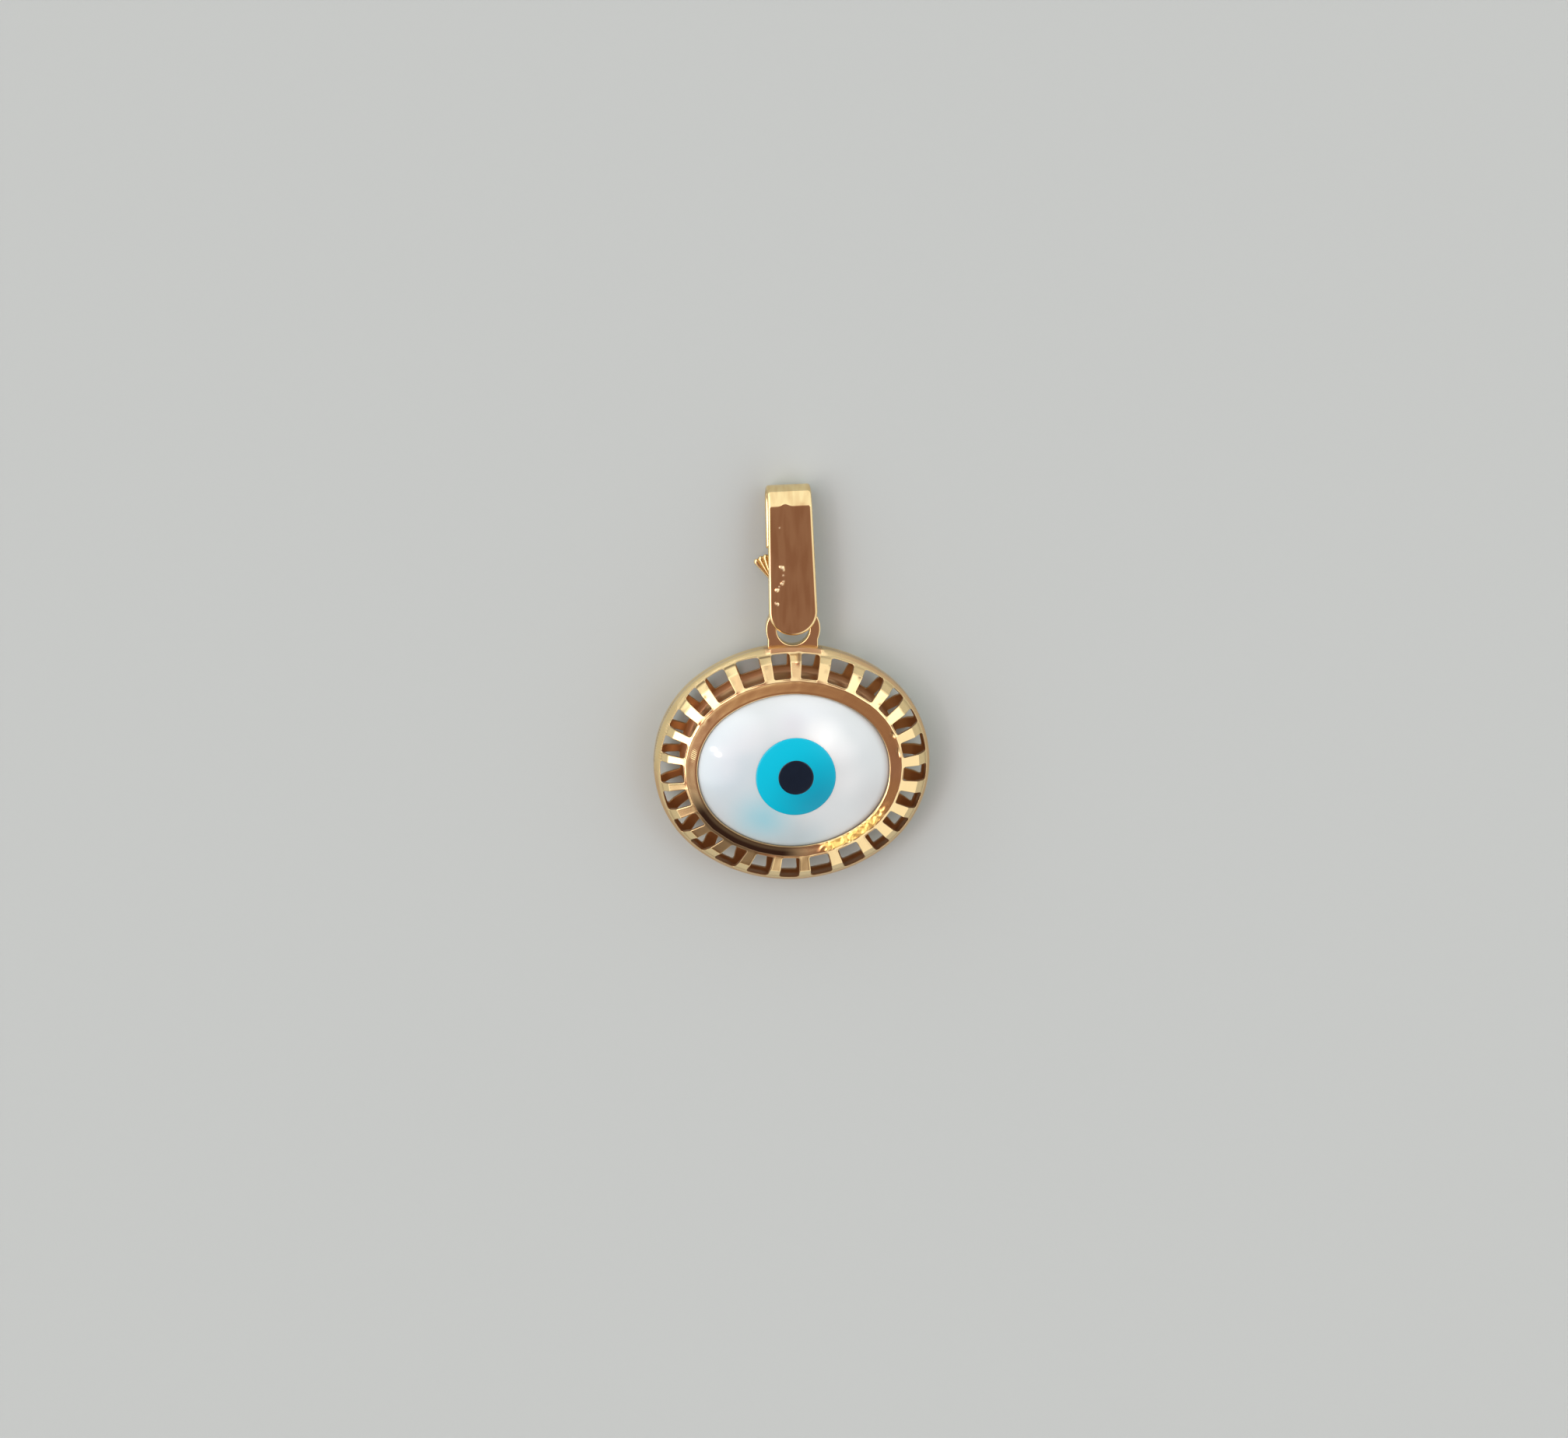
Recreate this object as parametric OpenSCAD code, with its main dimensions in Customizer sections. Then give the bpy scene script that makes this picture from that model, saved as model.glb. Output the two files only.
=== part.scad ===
// Evil eye pendant: an oval cabochon in a pierced two-shell setting, with an ear ring and a folded bail.
// It lies face up: +Z out of the face, +Y towards the bail, the back crest and the bail on the floor.

/* [Stone] */
// Length of the cabochon, along X
stone_length = 12.2; // [10:0.1:15]
// Width of the cabochon, along Y
stone_width = 10; // [8.5:0.1:12]
// Height of the dome above the cabochon's edge
dome_rise = 1.4; // [0.8:0.1:2.2]
// Depth of the cabochon's upright edge, from its flat back
stone_edge_depth = 2; // [1.4:0.1:2.4]
// Distance of the cabochon below the setting's middle, away from the bail
stone_low = 0.12; // [0:0.01:0.12]

/* [Inlay] */
// Diameter of the iris
iris_d = 5; // [3.6:0.1:6]
// Diameter of the pupil
pupil_d = 2.2; // [1.2:0.1:3]
// Depth of the inlays below the top of the dome
inlay_depth = 1.6; // [1:0.1:2.2]
// Distance of the inlays to the right of the cabochon's middle
inlay_right = 0.06; // [0:0.01:0.3]
// Distance of the inlays below the cabochon's middle, away from the bail
inlay_low = 0.16; // [0:0.01:0.3]

/* [Setting] */
// Width of the pierced gallery, from the rim to the crest
gallery_width = 1.9; // [1.5:0.02:2.4]
// Width of the funnel-shaped collar, from the crest to the lip at the ends of the stone
collar_width = 0.72; // [0.5:0.02:1.1]
// Height of the crest above the setting's middle plane
crest_height = 1.9; // [1.6:0.05:2.3]
// Width of the flat land along the crest
crest_land = 0.17; // [0.1:0.01:0.3]
// Drop from the crest down to the lip at the stone
collar_drop = 0.15; // [0.1:0.05:0.7]
// Distance of the bend in the gallery from the rim
bend_inset = 0.75; // [0.6:0.05:0.9]
// Drop from the crest down to the bend in the gallery
bend_drop = 0.45; // [0.3:0.05:0.6]
// Height of the upright wall at the rim
rim_height = 0.9; // [0.6:0.05:1.2]
// Thickness of the sheet gold
sheet = 0.22; // [0.16:0.01:0.28]
// Length by which the front lip covers the stone's edge
lip_cover = 0.07; // [0.04:0.01:0.12]
// Thickness of the front lip
lip_thickness = 0.1; // [0.06:0.01:0.16]
// Length by which the back ledge reaches under the stone
ledge_reach = 0.5; // [0.3:0.05:0.9]
// Gap between the stone, its inlays and the metal
stone_gap = 0.03; // [0.02:0.01:0.06]

/* [Windows] */
// Number of windows round the gallery
window_count = 25; // [15:1:30]
// Width of a bar between two windows, at the rim
bar_at_rim = 0.76; // [0.5:0.02:0.9]
// Width of a bar between two windows, at the crest
bar_at_crest = 0.6; // [0.4:0.02:0.8]
// Width of the plain band outside the windows
rim_band = 0.35; // [0.28:0.01:0.45]
// Radius of the windows' corners
window_corner = 0.1; // [0.05:0.01:0.14]
// Turn of the first bar from the top of the oval
first_bar_turn = 0.85; // [0:0.05:7]

/* [Ear] */
// Diameter of the hole in the ear
ear_hole_d = 2.06; // [1.8:0.02:2.6]
// Width of the ear's metal round its hole
ear_wall = 0.68; // [0.5:0.02:0.9]
// Thickness of the ear, front to back
ear_thickness = 0.7; // [0.5:0.05:0.85]
// Metal left between the ear's hole and the rim
ear_web = 0.05; // [0.03:0.01:0.2]
// Distance of the sides of the ear's foot inside the ring's outer edge
ear_draw_in = 0.13; // [0.06:0.01:0.3]

/* [Bail] */
// Length of the bail, from its tip to its top
bail_length = 9.45; // [8:0.05:12]
// Depth of the bail at its top bend, front to back
bail_depth = 2.4; // [2:0.05:3]
// Width of the front leaf near its round end
leaf_width = 3.04; // [2.6:0.02:3.4]
// Width of the bail at its top bend
top_width = 2.74; // [2.4:0.02:3]
// Thickness of the bail's band
band = 0.3; // [0.22:0.01:0.34]
// Width of the lower flap of the back leaf
flap_width = 2.3; // [1.8:0.05:2.6]
// Distance of the cut in the back leaf from the bail's lower fold
cut_reach = 4.5; // [3.8:0.1:5]
// Width of the cut in the back leaf
cut_width = 0.12; // [0.08:0.01:0.2]
// Gap on each side of the neck that passes through the ear
neck_gap = 0.38; // [0.2:0.02:0.5]
// Gap between the bail's fold and the faces of the ear
fold_gap = 0.1; // [0.08:0.01:0.2]
// Distance of the bail's tip below the middle of the ear's hole
tip_drop = 0.38; // [0.2:0.02:0.5]
// Sideways lean of the bail in degrees
bail_lean = 2.2; // [0:0.1:4]

/* [Thumb tab] */
// Number of flutes in the fan
flute_count = 6; // [4:1:8]
// Length of a flute
flute_length = 1.5; // [1:0.05:1.7]
// Distance of the flutes' ends from the cut in the back leaf
flute_below_cut = 0.45; // [0.3:0.05:0.8]
// Radius of a flute at its wide end
flute_radius = 0.2; // [0.17:0.01:0.24]
// Height of a flute's rib above the back leaf
flute_rib = 0.26; // [0.18:0.01:0.3]
// Thickness of the fan's plate
tab_plate = 0.28; // [0.2:0.01:0.34]
// Angle between one flute and the next
flute_step = 12; // [8:1:14]
// Turn of the outermost flute from the bail's length
flute_turn = 36; // [25:1:45]

/* [Hidden] */
$fn = 96;

// Distance by which cutting tools run past what they cut
past = 1;

// Thickness of the rim's wall that is left inside the ear's foot
foot_skin = 0.02;

// Flats that round each corner of a window
corner_flats = 3;

// Length of the inner cores that tie the oval's arcs together, and how deep they lie in the sheet
tie_length = 0.2;
tie_depth = sheet / 4;

// The oval is four arcs, and every other oval is parallel to the stone's. The arcs meet on lines that
// rise 4 for every 3 across, which puts their centres 1.5 and 2 times the half sizes' difference out.
meeting = [3, 4];
half_length = stone_length / 2;
half_width = stone_width / 2;
end_centre = (half_length - half_width) * 1.5;
side_centre = (half_length - half_width) * 2;
end_radius = half_length - end_centre;
side_radius = half_width + side_centre;

// Outward distances from the stone's edge
crest_at = collar_width - lip_cover;
land_at = crest_at + crest_land;
rim_at = crest_at + gallery_width;
bend_at = rim_at - bend_inset;
window_in = land_at;
window_out = rim_at - rim_band;

// Heights above the setting's middle plane
bend_height = crest_height - bend_drop;
lip_top = crest_height - collar_drop;
lip_bottom = lip_top - lip_thickness;
dome_slope_rise = lip_cover * stone_length * dome_rise / (half_length * half_length);
edge_height = lip_bottom - stone_gap - dome_slope_rise;
stone_back = edge_height - stone_edge_depth;
ledge_top = stone_back - stone_gap;
ledge_bottom = ledge_top - sheet;
dome_top = edge_height + dome_rise;
middle = crest_height;

// Radii of the dome lengthwise and across
along_radius = (half_length * half_length + dome_rise * dome_rise) / (2 * dome_rise);
across_radius = (half_width * half_width + dome_rise * dome_rise) / (2 * dome_rise);

// Ear
rim_y = half_width + rim_at;
ear_hole_r = ear_hole_d / 2;
ear_r = ear_hole_r + ear_wall;
ear_y = rim_y + ear_web + ear_hole_r;

// Bail: the lower fold goes through the ear, and the top bend rests on the floor
fold_r = ear_thickness / 2 + fold_gap + band;
top_r = bail_depth / 2;
reach = bail_length - fold_r - top_r;
bail_tilt = asin((middle - top_r) / reach);
widening = asin((top_r - fold_r) / reach);
fold_y = ear_y - tip_drop + fold_r;
neck_width = ear_hole_d - 2 * neck_gap;
leaf_r = leaf_width / 2;
flute_foot = [-flap_width / 2, cut_reach - flute_below_cut - flute_length];

// The outline's middle goes on the Y axis' zero
bail_top_y = fold_y + (reach * cos(bail_tilt) + top_r) * cos(bail_lean) + top_width / 2 * sin(bail_lean);
centre_y = (bail_top_y - rim_y) / 2;

// Unit vector at an angle
function unit(turn) = [cos(turn), sin(turn)];

// Vector turned a quarter to the left
function left_of(v) = [-v[1], v[0]];

// Vector of length one
function unit_of(v) = v / norm(v);

// Corner of an anticlockwise outline moved inwards by a depth, measured square to both its sides
function inset_corner(before, corner, after, depth) =
    let (
        side_in = left_of(unit_of(corner - before)),
        side_out = left_of(unit_of(after - corner)),
        inward = side_in + side_out
    )
    corner + inward * (2 * depth / (inward * inward));

// Anticlockwise outline with every side moved inwards by a depth
function inset_outline(points, depth) =
    let (last = len(points) - 1)
    [
        for (i = [0 : last])
            inset_corner(points[i == 0 ? last : i - 1], points[i], points[i == last ? 0 : i + 1], depth)
    ];

// Outline of one half of a section with its mirror image below the middle plane added
function with_mirror(points) =
    let (last = len(points) - 1)
    concat(points, [for (i = [0 : last]) [points[last - i][0], -points[last - i][1]]]);

// Direction square to the oval, at a turn measured clockwise from its top
function square_turn(turn) = atan2((half_length + rim_at) * cos(turn), (half_width + rim_at) * sin(turn));

// Point of the oval at an outward distance from the stone's edge, square to it in a direction
function oval_point(outward, direction) =
    let (
        on_end = abs(sin(direction)) < unit_of(meeting)[1],
        end_side = sign(cos(direction)),
        side_side = sign(sin(direction))
    )
    on_end
        ? [end_side * end_centre, 0] + (end_radius + outward) * unit(direction)
        : [0, -side_side * side_centre] + (side_radius + outward) * unit(direction);

// Corner of a window beside a bar: side is 1 after the bar and -1 before it, going clockwise
function window_corner_point(turn, outward, bar_width, side) =
    let (direction = square_turn(turn))
    oval_point(outward, direction) - side * bar_width / 2 * left_of(unit(direction));

// Four corners of the window that follows a bar, anticlockwise
function window_corners(index) =
    let (
        pitch = 360 / window_count,
        here = first_bar_turn + index * pitch,
        next = here + pitch
    )
    [
        window_corner_point(here, window_in, bar_at_crest, 1),
        window_corner_point(next, window_in, bar_at_crest, -1),
        window_corner_point(next, window_out, bar_at_rim, -1),
        window_corner_point(here, window_out, bar_at_rim, 1)
    ];

// Wedge of the oval that belongs to one end arc, or to one side arc
module end_wedge() {
    far = meeting * stone_length;
    linear_extrude(4 * crest_height, center = true)
        polygon([
            [end_centre, 0],
            [end_centre + far[0], -far[1]],
            [end_centre + 2 * far[0], -far[1]],
            [end_centre + 2 * far[0], far[1]],
            [end_centre + far[0], far[1]]
        ]);
}

module side_wedge() {
    far = meeting * stone_length;
    linear_extrude(4 * crest_height, center = true)
        polygon([[0, -side_centre], [far[0], far[1] - side_centre], [-far[0], far[1] - side_centre]]);
}

// Sweeps the first child round the oval: its X is the outward distance from the stone's edge. The second
// child is a core that lies inside the first and ties the arcs together where they meet.
module round_the_oval() {
    for (half_turn = [0, 180])
        rotate([0, 0, half_turn]) {
            intersection() {
                translate([end_centre, 0, 0])
                    rotate_extrude()
                        translate([end_radius, 0])
                            children(0);
                end_wedge();
            }
            intersection() {
                translate([0, -side_centre, 0])
                    rotate_extrude()
                        translate([side_radius, 0])
                            children(0);
                side_wedge();
            }
            for (side = [-1, 1])
                translate([end_centre, 0, 0])
                    rotate([90, 0, side * atan2(meeting[1], meeting[0])])
                        translate([end_radius, 0, -tie_length / 2])
                            linear_extrude(tie_length)
                                children(1);
        }
}

// Flat oval parallel to the stone's edge
module oval(outward) {
    joint_x = end_centre + (end_radius + outward) * unit_of(meeting)[0];
    wide = 2 * (half_length + outward + past);
    intersection() {
        translate([0, -side_centre])
            circle(side_radius + outward);
        translate([0, side_centre])
            circle(side_radius + outward);
        square([2 * joint_x, wide], center = true);
    }
    for (half_turn = [0, 180])
        rotate(half_turn)
            intersection() {
                translate([end_centre, 0])
                    circle(end_radius + outward);
                translate([joint_x, -wide / 2])
                    square(wide);
            }
}

// Anticlockwise outline with each corner rounded by short flats
function round_cornered(points, radius) =
    let (
        last = len(points) - 1,
        centres = inset_outline(points, radius),
        sides = [for (i = [0 : last]) left_of(unit_of(points[i == last ? 0 : i + 1] - points[i]))]
    )
    [
        for (i = [0 : last], flat = [0 : corner_flats])
            let (share = flat / corner_flats)
            centres[i] - radius * unit_of((1 - share) * sides[i == 0 ? last : i - 1] + share * sides[i])
    ];

// Height of the funnel's surface at an outward distance from where the stone's edge would be in the middle
function funnel_height(outward) = lip_top + collar_drop * (outward + lip_cover) / collar_width;

// Outline of the metal, anticlockwise from the rim, before the stone's pocket is cut out of it
function metal_outline() = [
    [rim_at, rim_height / 2],
    [bend_at, bend_height],
    [land_at, crest_height],
    [crest_at, crest_height],
    [-2 * ledge_reach, funnel_height(-2 * ledge_reach)],
    [-2 * ledge_reach, ledge_bottom],
    [stone_gap, ledge_bottom],
    [stone_gap, -funnel_height(stone_gap)],
    [crest_at, -crest_height],
    [land_at, -crest_height],
    [bend_at, -bend_height],
    [rim_at, -rim_height / 2]
];

// Outline of the hollow between the two shells: their outer faces moved in by the sheet's thickness
function hollow_outline() = inset_outline(with_mirror([
    [rim_at, rim_height / 2],
    [bend_at, bend_height],
    [crest_at + crest_land / 2, crest_height],
    [stone_gap, funnel_height(stone_gap)]
]), sheet);

// Section through the setting's metal at one side of the pocket, with all its faces moved in by a depth
module setting_section(depth) {
    metal = inset_outline(metal_outline(), depth);
    hollow = inset_outline(hollow_outline(), -depth);
    polygon(
        concat(metal, hollow),
        paths = [
            [for (i = [0 : len(metal) - 1]) i],
            [for (i = [0 : len(hollow) - 1]) len(metal) + i]
        ]
    );
}

// Upright prism of an oval round the stone's own middle, between two heights
module stone_prism(outward, bottom, top) {
    translate([0, -stone_low, bottom])
        linear_extrude(top - bottom)
            oval(outward);
}

// Pocket for the stone: the opening under it, the room for its edge and the opening inside the lip
module pocket() {
    stone_prism(-ledge_reach, ledge_bottom - past, ledge_top + past);
    stone_prism(stone_gap, ledge_top, lip_bottom);
    stone_prism(-lip_cover, lip_bottom - past, crest_height + past);
}

// Ear ring with its foot, soldered on the rim
module ear() {
    foot_y = rim_y - sheet + foot_skin;
    foot_half = ear_r - ear_draw_in;
    translate([0, 0, -ear_thickness / 2])
        linear_extrude(ear_thickness)
            difference() {
                union() {
                    translate([0, ear_y])
                        circle(ear_r);
                    translate([-foot_half, foot_y])
                        square([2 * foot_half, ear_y - foot_y]);
                }
                translate([0, ear_y])
                    circle(ear_hole_r);
                translate([-ear_r - past, foot_y - ear_r])
                    square([2 * (ear_r + past), ear_r]);
            }
}

// Setting: two pierced shells, collar, tube, lip, ledge and ear in one soldered piece
module setting() {
    color("goldenrod")
        translate([0, -centre_y, middle]) {
            difference() {
                round_the_oval() {
                    setting_section(0);
                    setting_section(tie_depth);
                }
                pocket();
                for (index = [0 : window_count - 1])
                    translate([0, 0, -crest_height - past])
                        linear_extrude(2 * (crest_height + past))
                            polygon(round_cornered(window_corners(index), window_corner));
            }
            ear();
        }
}

// Solid whose upper face is the dome, far larger than the stone
module dome() {
    translate([0, -stone_low, dome_top - across_radius])
        rotate([0, 90, 0])
            rotate_extrude()
                intersection() {
                    translate([across_radius - along_radius, 0])
                        circle(along_radius);
                    translate([0, -half_length - past])
                        square([across_radius + past, stone_length + 2 * past]);
                }
}

// Upright cylinder at the inlays' place, from their floor to above the dome
module inlay_core(radius, floor_gap) {
    translate([inlay_right, -stone_low - inlay_low, dome_top - inlay_depth - floor_gap])
        cylinder(h = inlay_depth + floor_gap + past, r = radius);
}

// Cabochon with the pocket for its inlays
module stone() {
    color("whitesmoke")
        translate([0, -centre_y, middle])
            difference() {
                intersection() {
                    stone_prism(0, stone_back, dome_top + past);
                    dome();
                }
                inlay_core(iris_d / 2 + stone_gap, stone_gap);
            }
}

// Iris: a turquoise ring ground flush with the dome
module iris() {
    color("darkturquoise")
        translate([0, -centre_y, middle])
            difference() {
                intersection() {
                    inlay_core(iris_d / 2, 0);
                    dome();
                }
                inlay_core(pupil_d / 2 + stone_gap, past);
            }
}

// Pupil: a dark plug ground flush with the dome
module pupil() {
    color("midnightblue")
        translate([0, -centre_y, middle])
            intersection() {
                inlay_core(pupil_d / 2, 0);
                dome();
            }
}

// Belt outline round the bail's fold and top bend, seen from the side: X runs up the bail
module belt(depth) {
    small = fold_r - depth;
    large = top_r - depth;
    circle(small);
    translate([reach, 0])
        circle(large);
    polygon([
        [-small * sin(widening), -small * cos(widening)],
        [reach - large * sin(widening), -large * cos(widening)],
        [reach - large * sin(widening), large * cos(widening)],
        [-small * sin(widening), small * cos(widening)]
    ]);
}

// Side view of the whole band, closed at its fold and its top
module band_loop() {
    difference() {
        belt(0);
        belt(band);
    }
}

// Side view of the front leaf's straight end beyond the fold
module leaf_end() {
    overlap = fold_r / 2;
    height = fold_r / cos(widening);
    thickness = band / cos(widening);
    polygon([
        [-fold_r, height - thickness - fold_r * tan(widening)],
        [overlap, height - thickness + overlap * tan(widening)],
        [overlap, height + overlap * tan(widening)],
        [-fold_r, height - fold_r * tan(widening)]
    ]);
}

// Slab across the bail with a side view, X of the view running up the bail
module across(width) {
    rotate([90, 0, 90])
        translate([0, 0, -width / 2])
            linear_extrude(width)
                children();
}

// Front view of the leaf: round end, sides drawing in towards the top
module leaf_outline() {
    end_y = leaf_r - fold_r;
    top_y = reach + top_r + past;
    draw_in = (leaf_width - top_width) / 2 / (reach + top_r - end_y);
    top_half = leaf_r - draw_in * (top_y - end_y);
    translate([0, end_y])
        circle(leaf_r);
    polygon([[-leaf_r, end_y], [leaf_r, end_y], [top_half, top_y], [-top_half, top_y]]);
}

// Back view of the neck and the lower flap
module flap_outline() {
    flare_start = fold_r;
    flare_end = flare_start + (flap_width - neck_width);
    polygon([
        [-neck_width / 2, -fold_r - past],
        [neck_width / 2, -fold_r - past],
        [neck_width / 2, flare_start],
        [flap_width / 2, flare_end],
        [flap_width / 2, cut_reach],
        [-flap_width / 2, cut_reach],
        [-flap_width / 2, flare_end],
        [-neck_width / 2, flare_start]
    ]);
}

// Front leaf, top bend and the back leaf down to its cut
module leaves() {
    tall = 4 * top_r;
    intersection() {
        across(leaf_width + past) {
            intersection() {
                band_loop();
                union() {
                    square([reach + top_r + past, top_r + past]);
                    translate([cut_reach + cut_width, -top_r - past])
                        square([reach + top_r, 2 * (top_r + past)]);
                }
            }
            leaf_end();
        }
        translate([0, 0, -tall / 2])
            linear_extrude(tall)
                leaf_outline();
    }
}

// Neck through the ear and the flap behind it
module neck_and_flap() {
    tall = 4 * top_r;
    intersection() {
        across(flap_width + past)
            intersection() {
                band_loop();
                union() {
                    translate([-fold_r - past, -top_r - past])
                        square([cut_reach + fold_r + past, top_r + past]);
                    translate([-fold_r - past, -top_r])
                        square([fold_r + past + band, top_r + fold_r - band / 2]);
                }
            }
        translate([0, 0, -tall / 2])
            linear_extrude(tall)
                flap_outline();
    }
}

// Flat teardrop from the fan's foot to a flute's round end
module flute_outline(radius) {
    foot = radius / 3;
    polygon([[-foot, 0], [foot, 0], [radius, flute_length], [-radius, flute_length]]);
    translate([0, flute_length])
        circle(radius);
}

// Fluted fan at the flap's left edge, for a thumbnail: a scalloped plate with a rib along each flute
module thumb_tab() {
    outer_face = -(fold_r + flute_foot[1] * sin(widening)) / cos(widening);
    translate([flute_foot[0], flute_foot[1], outer_face])
        rotate([-widening, 0, 0])
            for (index = [0 : flute_count - 1])
                rotate([0, 0, flute_turn - index * flute_step]) {
                    translate([0, 0, -tab_plate / 2])
                        linear_extrude(tab_plate)
                            flute_outline(flute_radius);
                    translate([0, 0, -flute_rib])
                        linear_extrude(flute_rib)
                            flute_outline(flute_radius / 2);
                }
}

// Bail: one folded band, leaning a little in the ear, with its top resting on the floor
module bail() {
    color("gold")
        translate([0, fold_y - centre_y, middle])
            rotate([0, 0, bail_lean])
                rotate([-bail_tilt, 0, 0]) {
                    leaves();
                    neck_and_flap();
                    thumb_tab();
                }
}

setting();
stone();
iris();
pupil();
bail();
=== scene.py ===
"""Looks of the evil eye pendant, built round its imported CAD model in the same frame, in metres."""

import math

import bmesh
import bpy
import numpy as np
from mathutils import Matrix, Vector, noise


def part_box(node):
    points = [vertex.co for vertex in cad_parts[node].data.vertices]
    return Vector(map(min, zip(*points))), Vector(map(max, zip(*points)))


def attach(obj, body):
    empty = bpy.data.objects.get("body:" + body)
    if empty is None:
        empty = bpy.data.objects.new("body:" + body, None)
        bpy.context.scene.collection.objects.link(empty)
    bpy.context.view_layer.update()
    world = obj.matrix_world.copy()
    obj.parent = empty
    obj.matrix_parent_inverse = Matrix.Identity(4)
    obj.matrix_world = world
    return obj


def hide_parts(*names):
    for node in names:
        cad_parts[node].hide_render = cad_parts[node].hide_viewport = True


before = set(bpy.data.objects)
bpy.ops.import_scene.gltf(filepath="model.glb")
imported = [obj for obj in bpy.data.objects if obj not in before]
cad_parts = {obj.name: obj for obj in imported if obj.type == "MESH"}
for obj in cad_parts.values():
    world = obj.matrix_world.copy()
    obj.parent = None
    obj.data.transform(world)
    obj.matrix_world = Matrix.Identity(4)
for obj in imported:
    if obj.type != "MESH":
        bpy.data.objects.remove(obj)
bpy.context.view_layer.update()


# Setting: two shells of 18 k gold sheet, each pressed over a form, sawn out into 25 windows and soldered to the
# other at the rim. A shallow collar runs in from the crest to a thin lip that is pressed over the stone, and a
# tube with a ledge carries the stone from below. The flat ear ring is soldered to the rim above the oval.

MM = 0.001
setting_low, setting_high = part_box("setting")

# Middle of the oval at the rim's seam, in the row's frame
foot_to_middle = 7.55
oval_middle = np.array([0, setting_low.y / MM + foot_to_middle, (setting_low.z + setting_high.z) / 2 / MM])

# The oval is four arcs that meet where the sine of the direction square to them is arc_joint. Distances outward are
# measured from the stone's edge, square to it.
half_length, half_width = 6.1, 5.0
end_centre, side_centre = 1.65, 2.2
end_radius, side_radius = half_length - end_centre, half_width + side_centre
arc_joint = 0.8
rim_at, bend_at, crest_at, crest_height = 2.55, 1.80, 0.67, 1.9

# Windows: where they begin and end outward, their number, the first bar's turn and how round the sawn edges are.
# Also how far the stone sits below the oval's middle.
window_in, window_out = 0.82, 2.20
window_count = 25
pitch = 360 / window_count
first_bar_turn = 0.85
edge_round = 0.04
stone_low = 0.12


def square_to_oval(turn):
    """Direction square to the oval at a turn in degrees, clockwise from its top."""
    turn = np.radians(turn)
    return np.arctan2((half_length + rim_at) * np.cos(turn), (half_width + rim_at) * np.sin(turn))


def oval_point(outward, direction):
    """Points of the oval at an outward distance from the stone's edge, square to it in a direction."""
    on_end = np.abs(np.sin(direction)) < arc_joint
    x = np.where(on_end, np.sign(np.cos(direction)) * end_centre, 0.0)
    y = np.where(on_end, 0.0, -np.sign(np.sin(direction)) * side_centre)
    reach = np.where(on_end, end_radius, side_radius) + outward
    return np.stack([x + reach * np.cos(direction), y + reach * np.sin(direction)], -1)


def onto_oval(point, outward):
    """Points pushed square to the oval until they lie at an outward distance from the stone's edge."""
    x, y = point[..., 0], point[..., 1]
    from_end = np.arctan2(y, x - np.sign(x) * end_centre)
    from_side = np.arctan2(y + np.sign(y) * side_centre, x)
    on_end = (np.abs(x) > end_centre) & (np.abs(np.sin(from_end)) < arc_joint)
    return oval_point(outward, np.where(on_end, from_end, from_side))


def rounded_line(corners):
    """Open polyline through corners (x, y, radius), with each corner rounded into short steps."""
    line = [np.array(corners[0][:2], float)]
    step_turn = 12
    for before, corner, after in zip(corners, corners[1:], corners[2:]):
        a, b, c = (np.array(p[:2], float) for p in (before, corner, after))
        u, v = (a - b) / np.linalg.norm(a - b), (c - b) / np.linalg.norm(c - b)
        half = math.acos(float(u @ v)) / 2
        cut = corner[2] / math.tan(half)
        steps = max(2, round(math.degrees(math.pi - 2 * half) / step_turn))
        for t in np.linspace(0, 1, steps + 1):
            line.append((1 - t) ** 2 * (b + cut * u) + 2 * t * (1 - t) * b + t * t * (b + cut * v))
    line.append(np.array(corners[-1][:2], float))
    return np.array(line)


def smooth(low, high, x):
    """0 below low, 1 above high and a smooth step between them."""
    t = np.clip((x - low) / (high - low), 0, 1)
    return t * t * (3 - 2 * t)


def near(x, middle, width):
    """A round bump of height 1 at the middle, falling off over the width."""
    return np.exp(-(((x - middle) / width) ** 2))


# Sections of the gallery's outer face and of the hollow's face behind it, from the rim to the crest: outward
# distance, height and the corner's radius
rim_wall, hollow_rim = 0.45, 2.33
outer_corners = [
    (rim_at, 0.0, 0),
    (rim_at, rim_wall, 0.1),
    (bend_at, 1.45, 0.07),
    (crest_at, crest_height, 0.03),
    (0.58, 1.88, 0),
]
hollow_corners = [(hollow_rim, 0.0, 0), (hollow_rim, 0.377, 0.05), (1.651, 1.282, 0.08), (0.69, 1.67, 0)]
gallery_face, hollow_face = rounded_line(outer_corners), rounded_line(hollow_corners)

# Rows of the sawn zone from the rim to the crest, shared by the outer face and the hollow, front and back
zone = np.array([2.2, 2.163, 2.09, 1.99, 1.9, 1.85, 1.82, 1.78, 1.74, 1.6, 1.42, 1.22, 1.06, 0.93, 0.857, 0.82])
back_zone = np.array([2.2, 2.163, 2.09, 1.94, 1.84, 1.76, 1.6, 1.3, 0.93, 0.857, 0.82])


def height_on(face, outward):
    """Height of a section's face at outward distances, on its part inside the rim's wall."""
    wall_top = 0.37
    above = face[face[:, 1] > wall_top]
    return np.interp(outward, above[::-1, 0], above[::-1, 1])


def on_face(face, places):
    """Rows of a face at outward distances."""
    return [(u, float(height_on(face, u))) for u in places]


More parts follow.
